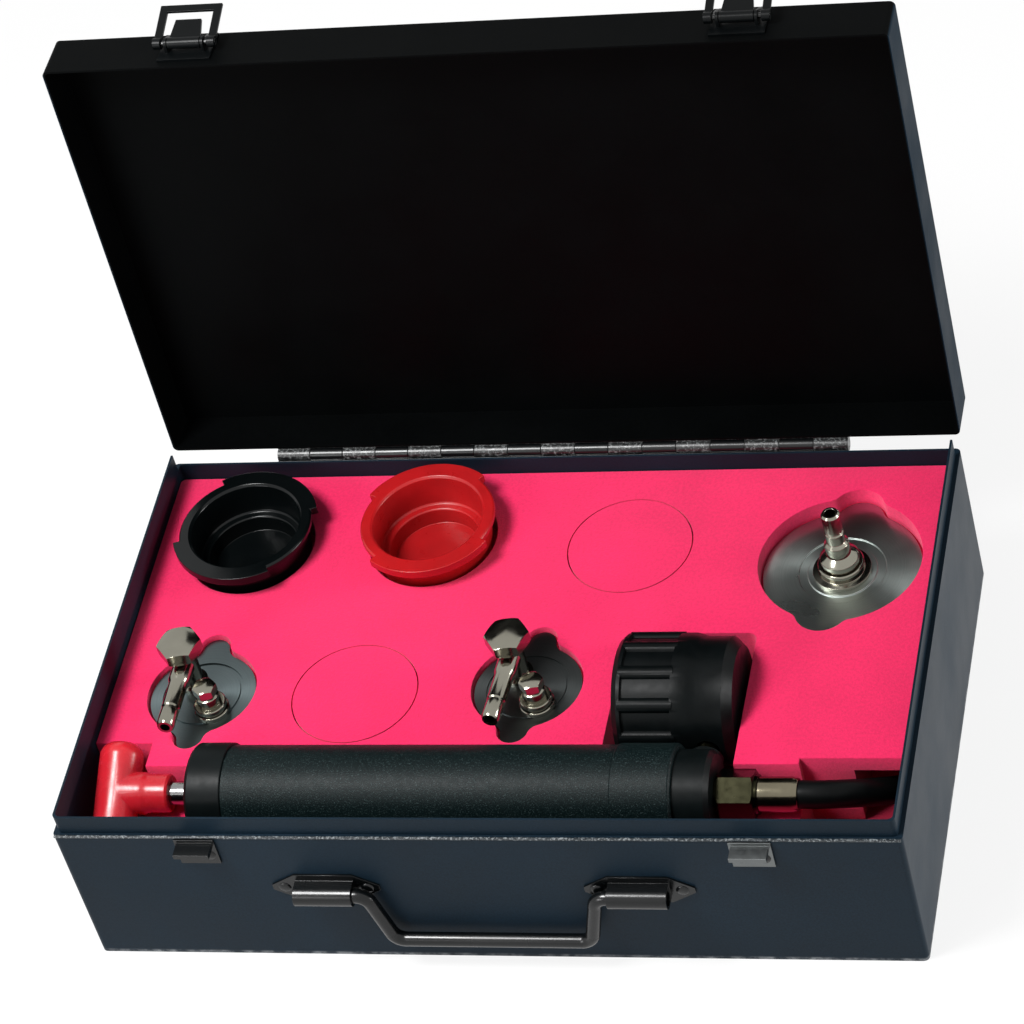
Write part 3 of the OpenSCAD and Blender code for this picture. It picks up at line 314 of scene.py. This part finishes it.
def moulded(name, colour, rough, sub=0.0, gloss=0.5):
    """Moulded plastic with a slight skin and uneven gloss; sub lets light into it."""
    n = Nodes(name)
    n.colour(n.shades(n.noise(60, 3), colour, 0.88, 1.12))
    n.rough(n.spread(n.noise(160, 4), *rough))
    n.normal(n.bump(n.noise(900, 3), 0.05, 0.0003))
    n.set(Specular_IOR_Level=gloss)
    if sub:
        n.set(Subsurface_Weight=sub, Subsurface_Scale=0.01, Subsurface_Radius=(1.0, 0.25, 0.2))
    return n.material


def textured_paint(name, colour, speck):
    """Powder-coated black tube: a fine grain with a few paler specks."""
    n = Nodes(name)
    n.set(Specular_IOR_Level=0.11)
    fine = n.noise(1900, 3, 0.6)
    n.colour(n.ramp(fine, [(0.4, colour), (0.58, times(colour, 1.8)), (0.72, speck)]))
    n.rough(n.spread(n.noise(400, 3), 0.4, 0.48))
    n.normal(n.bump(fine, 0.45, 0.00025))
    return n.material


def rubber(name, colour, rough):
    """Dull black rubber with a fine skin."""
    n = Nodes(name)
    n.colour(n.shades(n.noise(90, 4), colour, 0.8, 1.35, (0.3, 0.72)))
    n.rough(n.spread(n.noise(200, 4), *rough))
    n.normal(n.bump(n.noise(1800, 3), 0.12, 0.0002))
    n.set(Specular_IOR_Level=0.09)
    return n.material


def plated(name, colour, rough, lines=0.0):
    """Plated, turned or bare metal: uneven gloss and faint machining marks."""
    n = Nodes(name)
    n.set(Metallic=1.0)
    n.colour(n.shades(n.noise(40, 4), colour, 0.85, 1.05))
    n.rough(n.spread(n.noise(300, 4, 0.6), *rough))
    if lines:
        n.normal(n.bump(n.noise(900, 2, 0.5), lines, 0.0001))
    return n.material


def turned_plate(node, colour):
    """Turned plate: rings of fine lines about the node's middle, seen from above."""
    n = Nodes(node + "_metal")
    n.set(Metallic=1.0, Anisotropic=0.75)
    middle = centre_of(node)
    flat = n.vectors("MULTIPLY", n.place, (1, 1, 0))["Vector"]
    spoke = n.vectors("SUBTRACT", flat, (middle.x, middle.y, 0))["Vector"]
    around = n.vectors("CROSS_PRODUCT", spoke, (0, 0, 1))["Vector"]
    n.link(n.vectors("NORMALIZE", around)["Vector"], n.shader.inputs["Tangent"])
    rings = n.add("ShaderNodeTexNoise", noise_dimensions="1D")
    rings.inputs["Scale"].default_value = 2600
    rings.inputs["Detail"].default_value = 2
    n.link(n.vectors("LENGTH", spoke)["Value"], rings.inputs["W"])
    n.colour(n.shades(rings.outputs["Fac"], colour, 0.9, 1.05))
    n.rough(n.spread(n.noise(40, 3), 0.27, 0.34))
    n.normal(n.bump(rings.outputs["Fac"], 0.08, 0.00004))
    return n.material


def rubbed_enamel(name, colour, bare, patch):
    """Enamel on a thin or rolled edge, rubbed through to pale specks; on the ledge roll the
    specks are also painted glints.
    """
    n = Nodes(name)
    patches = n.spread(n.noise(900, 4, 0.7), 0, 1, patch)
    dark = n.shades(n.noise(60, 2), colour, 0.9, 1.3)
    pale = n.shades(n.noise(300, 2), bare, 0.7, 1.0)
    n.colour(n.mixed(patches, dark, pale))
    n.rough(n.spread(n.noise(200, 3), 0.25, 0.4))
    n.normal(n.bump(n.noise(700, 3), 0.2, 0.0002))
    n.set(Specular_IOR_Level=0.5)
    return n.material


def foam(name, colour):
    """Cut polyurethane foam: open pores, soft blotches."""
    n = Nodes(name)
    cell = n.add("ShaderNodeTexVoronoi")
    cell.inputs["Scale"].default_value = 1300
    n.link(n.place, cell.inputs["Vector"])
    grain = n.noise(700, 4, 0.7)
    blend = n.add("ShaderNodeMix", data_type="RGBA", blend_type="MULTIPLY")
    blend.inputs["Factor"].default_value = 0.55
    n.link(n.shades(n.noise(22, 5, 0.6), colour, 0.9, 1.06), blend.inputs["A"])
    n.link(n.ramp(grain, [(0.32, (0.72, 0.62, 0.66)), (0.6, (1, 1, 1))]), blend.inputs["B"])
    n.colour(blend.outputs["Result"])
    n.set(Roughness=0.9, Specular_IOR_Level=0.2, Sheen_Weight=0.15, Sheen_Roughness=0.6)
    pores = n.bump(cell.outputs["Distance"], 0.25, 0.0004)
    n.normal(n.bump(grain, 0.3, 0.0004, pores))
    return n.material


def clear_lens(name):
    """Slightly smudged clear plastic."""
    n = Nodes(name)
    n.set(Transmission_Weight=1.0, IOR=1.45)
    n.rough(n.spread(n.noise(80, 3), 0.02, 0.08))
    n.colour(n.ramp(n.noise(30, 2), [(0.3, (0.92, 0.96, 0.95)), (0.7, (1, 1, 1))]))
    return n.material


case_colour = (0.0050, 0.0140, 0.0240)
case_enamel = enamel("black_enamel", case_colour, rough=(0.4, 0.48), gloss=0.1,
                     worn_below=2.2 * MM)
lid_enamel = enamel("lid_enamel", (0.0014, 0.0017, 0.0018), rough=(0.4, 0.55), peel=0.1,
                    gloss=0.02, outside=case_colour)
fitting_enamel = enamel("fitting_enamel", (0.0018, 0.0024, 0.0028), rough=(0.2, 0.28),
                        peel=0.04, gloss=0.4)
latch_enamel = enamel("latch_enamel", (0.0014, 0.0020, 0.0023), rough=(0.28, 0.38), peel=0.04,
                      gloss=0.12)
hinge_enamel = rubbed_enamel("hinge_enamel", (0.002, 0.0024, 0.0026), (0.16, 0.17, 0.17),
                             (0.52, 0.62))
# The ledge roll's pale specks are rubbed paint and also a painted highlight along the edge.
bead_wear_and_glints = rubbed_enamel("bead_wear_and_glints", (0.006, 0.010, 0.013), (0.24, 0.26, 0.27),
                            (0.5, 0.6))
zinc = plated("zinc", (0.30, 0.31, 0.31), rough=(0.28, 0.42))
# Bare metal for the right keeper only, where the left one is black enamel: a painted highlight on
# one of two like parts.
right_keeper_highlight_metal = plated("right_keeper_highlight_metal", (0.16, 0.17, 0.17), rough=(0.3, 0.42))
nickel = plated("nickel", (0.27, 0.26, 0.215), rough=(0.1, 0.18), lines=0.03)
rod_steel = plated("rod_steel", (0.3, 0.3, 0.3), rough=(0.1, 0.2))
old_brass = plated("old_brass", (0.016, 0.0155, 0.0085), rough=(0.16, 0.28), lines=0.04)
ferrule_metal = plated("ferrule_metal", (0.19, 0.17, 0.12), rough=(0.14, 0.24))
barrel_paint = textured_paint("barrel_paint", (0.0013, 0.0040, 0.0043), (0.04, 0.06, 0.06))
cap_rubber = rubber("cap_rubber", (0.0020, 0.0033, 0.0035), rough=(0.34, 0.46))
boot_rubber = rubber("boot_rubber", (0.0016, 0.0024, 0.0026), rough=(0.28, 0.42))
hose_rubber = rubber("hose_rubber", (0.0022, 0.0028, 0.0029), rough=(0.34, 0.46))
black_plastic = moulded("black_plastic", (0.0012, 0.0020, 0.0022), rough=(0.14, 0.24),
                        gloss=0.25)
red_plastic = moulded("red_plastic", (0.36, 0.006, 0.008), rough=(0.26, 0.36), sub=0.1,
                      gloss=0.45)
handle_plastic = moulded("handle_plastic", (0.46, 0.012, 0.022), rough=(0.2, 0.32), sub=0.25,
                         gloss=0.4)
red_foam = foam("red_foam", (0.80, 0.013, 0.105))
# The lower foam layer is the top foam's colour darkened: painted shade on the pocket floors.
shade_painted_foam = foam("shade_painted_foam", (0.45, 0.010, 0.05))
dial_paint = moulded("dial_paint", (0.75, 0.75, 0.72), rough=(0.45, 0.6))
ink = moulded("ink", (0.012, 0.012, 0.012), rough=(0.4, 0.5))
lens_plastic = clear_lens("lens_glass")

# ------------------------------------------------------------------ CAD nodes


def soften(node, width):
    """Rounds the hard edges of a CAD node a little, without touching its own vertices."""
    piece = nodes[node]
    bpy.context.view_layer.objects.active = piece
    bpy.ops.mesh.customdata_custom_splitnormals_clear()
    piece.data.shade_smooth()
    weld = piece.modifiers.new("weld", "WELD")
    weld.merge_threshold = weld_gap
    flat = piece.modifiers.new("flat", "DECIMATE")
    flat.decimate_type = "DISSOLVE"
    flat.angle_limit = flat_angle
    bevel = piece.modifiers.new("bevel", "BEVEL")
    bevel.width = width * MM
    bevel.segments = 2
    bevel.limit_method = "ANGLE"
    bevel.angle_limit = math.radians(35)
    bevel.harden_normals = True
    bevel.use_clamp_overlap = True


def paint(node, material):
    piece = nodes[node]
    if not piece.data.materials:
        piece.data.materials.append(material)
    for slot in piece.material_slots:
        slot.link = "OBJECT"
        slot.material = material


# Each node's material and the width in mm that its edges are rounded over.
finish_of = {
    "case_base": (case_enamel, 0.5),
    "case_lid": (lid_enamel, 0.5),
    "hinge_base_leaf": (fitting_enamel, 0.15),
    "hinge_lid_leaf": (hinge_enamel, 0.15),
    "hinge_pin": (zinc, 0.2),
    "latch_bracket_left": (latch_enamel, 0.15),
    "latch_bracket_right": (latch_enamel, 0.15),
    "latch_pin_left": (fitting_enamel, 0.2),
    "latch_pin_right": (fitting_enamel, 0.2),
    "latch_lever_left": (latch_enamel, 0.2),
    "latch_lever_right": (latch_enamel, 0.2),
    "latch_loop_left": (latch_enamel, 0.2),
    "latch_loop_right": (latch_enamel, 0.2),
    "latch_rivets": (fitting_enamel, 0.1),
    # The keepers are alike; the right one's bare metal stands in for its highlight.
    "keeper_left": (fitting_enamel, 0.3),
    "keeper_right": (right_keeper_highlight_metal, 0.3),
    "keeper_rivets": (fitting_enamel, 0.1),
    "handle_bracket_left": (fitting_enamel, 0.3),
    "handle_bracket_right": (fitting_enamel, 0.3),
    "handle_rivets": (fitting_enamel, 0.1),
    "carry_handle": (fitting_enamel, 0.3),
    "pump_barrel": (barrel_paint, 0.3),
    "pump_rear_cap": (cap_rubber, 0.4),
    "pump_front_cap": (barrel_paint, 0.4),
    "pump_head": (cap_rubber, 0.4),
    "check_valve_disc": (cap_rubber, 0.1),
    "piston_rod": (rod_steel, 0.2),
    "piston": (old_brass, 0.1),
    "piston_cup_seal": (cap_rubber, 0.1),
    "t_handle": (handle_plastic, 0.4),
    "gauge_case": (zinc, 0.2),
    "gauge_boot": (boot_rubber, 0.5),
    "gauge_stem": (old_brass, 0.1),
    "gauge_dial": (dial_paint, 0.1),
    "gauge_pointer": (ink, 0.05),
    "gauge_lens": (lens_plastic, 0.2),
    "hose_nut": (old_brass, 0.2),
    "hose_ferrule": (ferrule_metal, 0.3),
    "quick_coupler": (old_brass, 0.2),
    "quick_coupler_sleeve": (nickel, 0.3),
    "black_cup": (black_plastic, 0.35),
    "red_cup": (red_plastic, 0.35),
    "large_adapter_plate": (turned_plate("large_adapter_plate", (0.42, 0.47, 0.45)), 0.25),
    "large_adapter_nipple": (nickel, 0.15),
    "large_adapter_seal": (cap_rubber, 0.3),
    # The two small adapters are alike; the left plate's paler, bluer colour and the right plate's
    # darker one are painted light and shade.
    "left_adapter_plate": (turned_plate("left_adapter_plate", (0.12, 0.15, 0.155)), 0.25),
    "left_adapter_coupler": (nickel, 0.12),
    "left_adapter_relief_valve": (nickel, 0.12),
    "left_adapter_seal": (cap_rubber, 0.3),
    "right_adapter_plate": (turned_plate("right_adapter_plate", (0.10, 0.11, 0.11)), 0.25),
    "right_adapter_coupler": (nickel, 0.12),
    "right_adapter_relief_valve": (nickel, 0.12),
    "right_adapter_seal": (cap_rubber, 0.3),
}
for node_name, (material, width) in finish_of.items():
    soften(node_name, width)
    paint(node_name, material)

# ------------------------------------------------------------------ hose

# The same points in mm as in part.scad.
hose_route = [
    (135, -75, 64), (137.5, -75, 64), (142, -74.8, 63.7), (147, -74, 62.9), (153, -72.2, 61.2),
    (158.8, -69.6, 58.6), (164, -66.2, 55.2), (168.7, -61.9, 50.9), (172.4, -56.6, 45.6),
    (174.9, -50.5, 39.5), (176, -43, 32.5),
    (176, -36, 26), (176, -28, 20), (176, -19, 15.5), (176, -9, 12.5), (176, 2, 11),
    (176, 14, 11), (176, 26, 11), (176, 38, 11), (175.5, 50, 11), (173, 60, 11),
    (168.5, 69.5, 11), (162.5, 78, 11), (155, 85, 11), (146, 90.5, 11), (136, 94.5, 11),
    (125, 96, 11), (112, 96, 11), (98, 96, 11), (84, 96, 11), (70, 96, 11),
    (56, 96, 11), (42, 96, 11), (28, 96, 11), (14, 96, 11.3), (0, 96, 12),
    (-14, 96, 13), (-28, 96, 13.7), (-40, 96, 14), (-52, 96, 14),
]
hose_d = 12
hose_steps = 4
hose_sides = 24


def make_hose():
    path = catmull([Vector(p) * MM for p in hose_route], hose_steps)
    hose = new_piece("hose_tube", sweep("hose_tube", path, hose_d / 2 * MM, hose_sides), None,
                     hose_rubber)
    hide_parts("hose")
    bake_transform(hose)


make_hose()

# ------------------------------------------------------------------ foam

die_cuts = [(0.040, 0.064), (-0.070, -0.023)]
die_cut_r = 0.0287
die_cut_margin = 0.0015
on_top_within = 0.00002
steep_edge = math.radians(60)


def near_die_cut(point):
    return any(abs(math.dist(point[:2], c) - die_cut_r) < die_cut_margin for c in die_cuts)


def foam_piece(node, name, material, round_by, keep_sharp):
    """Foam layer shaped as its solid, with the cut edges of its top rounded.

    keep_sharp says of a point whether the edge at it stays as it is.
    """
    bm = bmesh.new()
    bm.from_mesh(nodes[node].data)
    bmesh.ops.remove_doubles(bm, verts=bm.verts, dist=weld_gap)
    bmesh.ops.dissolve_limit(bm, angle_limit=flat_angle, verts=bm.verts, edges=bm.edges)
    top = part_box(node)[1].z
    rims = []
    for edge in bm.edges:
        ends = [v.co for v in edge.verts]
        on_top = all(abs(p.z - top) < on_top_within for p in ends)
        steep = len(edge.link_faces) == 2 and edge.calc_face_angle(0) > steep_edge
        if on_top and steep and not keep_sharp(ends[0]):
            rims.append(edge)
    bmesh.ops.bevel(bm, geom=rims, offset=round_by * MM, segments=3, profile=0.6,
                    affect="EDGES", clamp_overlap=True)
    bmesh.ops.triangulate(bm, faces=[f for f in bm.faces if len(f.verts) > 4])
    piece = new_piece(name, mesh_from(bm, name, 40), "case", material)
    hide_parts(node)


foam_piece("foam_deck", "foam_inlay_top", red_foam, 0.9, near_die_cut)
foam_piece("foam_base", "foam_inlay_bottom", shade_painted_foam, 0.5, lambda point: False)

# ------------------------------------------------------------------ gauge face

dial_first = 135
dial_span = 270
dial_top = 30
dial_number_step = 5
tick_r = 0.0205
long_tick = (0.0034, 0.00035)
short_tick = (0.002, 0.00018)
tick_lift = 0.00005
number_r = 0.0148
number_size = 0.0042
number_lift = 0.00006

dial_middle = centre_of("gauge_dial")
dial_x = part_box("gauge_dial")[0].x


def dial_turn(value):
    """Where a value lies on the scale, as an angle from the dial's top."""
    return math.radians(dial_first - dial_span * value / dial_top)


def dial_ticks():
    """A tick for each whole number, longer at the numbered ones."""
    bm = bmesh.new()
    base = Vector((dial_x - tick_lift, dial_middle.y, dial_middle.z))
    for value in range(dial_top + 1):
        turn = dial_turn(value)
        length, half = short_tick if value % dial_number_step else long_tick
        out = Vector((0, math.sin(turn), math.cos(turn)))
        across = Vector((0, math.cos(turn), -math.sin(turn)))
        corners = [
            base + out * tick_r + across * half,
            base + out * tick_r - across * half,
            base + out * (tick_r - length) - across * half,
            base + out * (tick_r - length) + across * half,
        ]
        bm.faces.new([bm.verts.new(c) for c in corners])
    new_piece("dial_ticks", mesh_from(bm, "dial_ticks"), "pump", ink)


def dial_numbers():
    """Plain numbers inside the ring of ticks."""
    stand = Matrix.Rotation(math.radians(-90), 4, "Z") @ Matrix.Rotation(math.radians(90), 4, "X")
    for value in range(0, dial_top + 1, dial_number_step):
        words = str(value)
        curve = bpy.data.curves.new("number_" + words, "FONT")
        curve.body = words
        curve.size = number_size
        curve.align_x = "CENTER"
        curve.align_y = "CENTER"
        text = bpy.data.objects.new("number_curve_" + words, curve)
        bpy.context.scene.collection.objects.link(text)
        bpy.context.view_layer.update()
        mesh = bpy.data.meshes.new_from_object(text)
        bpy.data.objects.remove(text)
        turn = dial_turn(value)
        place = Vector((dial_x - number_lift, dial_middle.y + math.sin(turn) * number_r,
                        dial_middle.z + math.cos(turn) * number_r))
        mesh.transform(Matrix.Translation(place) @ stand)
        new_piece("dial_number_" + words, mesh, "pump", ink)


dial_ticks()
dial_numbers()

# ------------------------------------------------------------------ case trim

# All in mm.
lip_h = 10
bead_r = 0.7
bead_inset = 0.4
bead_steps = 60
bead_sides = 10


def ledge_roll():
    """Rolled front edge of the ledge that the lid shuts on, its paint rubbed through to pale
    specks that are also painted glints.
    """
    low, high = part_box("case_base")
    ledge = high.z - lip_h * MM
    left, right = low.x + bead_r * MM, high.x - bead_r * MM
    points = []
    for i in range(bead_steps + 1):
        x = left + (right - left) * i / bead_steps
        points.append((x, low.y + bead_inset * MM, ledge - bead_inset * MM))
    new_piece("ledge_roll", sweep("ledge_roll", points, bead_r * MM, bead_sides), "case",
              bead_wear_and_glints)


ledge_roll()

# ------------------------------------------------------------------ floor, light, world

floor_side = 12
floor_z = -0.0002
floor_glow = 0.85
world_light = 0.36
# Each lamp's place, the point it is aimed at, its size and its power.
lamps = {
    "key": ((-0.42, -0.33, 1.10), (0, 0, 0.06), (0.35, 0.35), 16.5),
    "fill": ((-0.75, -1.05, 0.6), (0, 0, 0.08), (0.5, 0.4), 4.5),
    "side": ((1.5, 0.1, 0.35), (0.18, 0, 0.05), (0.5, 0.4), 14),
}


def background_rays(tree):
    """1 for the rays that show the background: to the camera, in gloss and through glass."""
    path = tree.nodes.new("ShaderNodeLightPath")
    total = path.outputs["Is Camera Ray"]
    for name in ("Is Glossy Ray", "Is Transmission Ray"):
        join = tree.nodes.new("ShaderNodeMath")
        join.operation = "MAXIMUM"
        tree.links.new(total, join.inputs[0])
        tree.links.new(path.outputs[name], join.inputs[1])
        total = join.outputs["Value"]
    return total


def make_floor():
    """Pale floor that keeps the shadow, lightened where it is seen."""
    bpy.ops.mesh.primitive_plane_add(size=floor_side, location=(0, 0, floor_z))
    floor = bpy.context.object
    floor.name = "floor"
    n = Nodes("floor_paint")
    n.colour(n.ramp(n.noise(3, 2), [(0.3, (0.93, 0.93, 0.93)), (0.7, (0.96, 0.96, 0.96))]))
    n.set(Roughness=0.9, Specular_IOR_Level=0.1)
    glow = n.add("ShaderNodeEmission")
    part = n.add("ShaderNodeMath", operation="MULTIPLY")
    n.link(background_rays(n.tree), part.inputs[0])
    part.inputs[1].default_value = floor_glow
    join = n.add("ShaderNodeMixShader")
    n.link(part.outputs["Value"], join.inputs["Fac"])
    n.link(n.shader.outputs["BSDF"], join.inputs[1])
    n.link(glow.outputs["Emission"], join.inputs[2])
    n.link(join.outputs["Shader"], n.tree.nodes["Material Output"].inputs["Surface"])
    floor.data.materials.append(n.material)


def area_light(name, place, aim, size, power):
    data = bpy.data.lights.new(name, "AREA")
    data.shape = "RECTANGLE"
    data.size, data.size_y = size
    data.energy = power
    light = bpy.data.objects.new(name, data)
    bpy.context.scene.collection.objects.link(light)
    light.location = place
    light.rotation_euler = (Vector(aim) - Vector(place)).to_track_quat("-Z", "Y").to_euler()


def make_world():
    """White to the camera and in reflections, dimmer as a light."""
    world = bpy.data.worlds.new("studio")
    world.use_nodes = True
    tree = world.node_tree
    back = tree.nodes["Background"]
    back.inputs["Color"].default_value = (1, 1, 1, 1)
    seen = tree.nodes.new("ShaderNodeMapRange")
    seen.inputs["To Min"].default_value = world_light
    tree.links.new(background_rays(tree), seen.inputs["Value"])
    tree.links.new(seen.outputs["Result"], back.inputs["Strength"])
    bpy.context.scene.world = world


make_floor()
make_world()
for lamp_name, settings in lamps.items():
    area_light(lamp_name, *settings)
bpy.context.scene.view_settings.view_transform = "Standard"
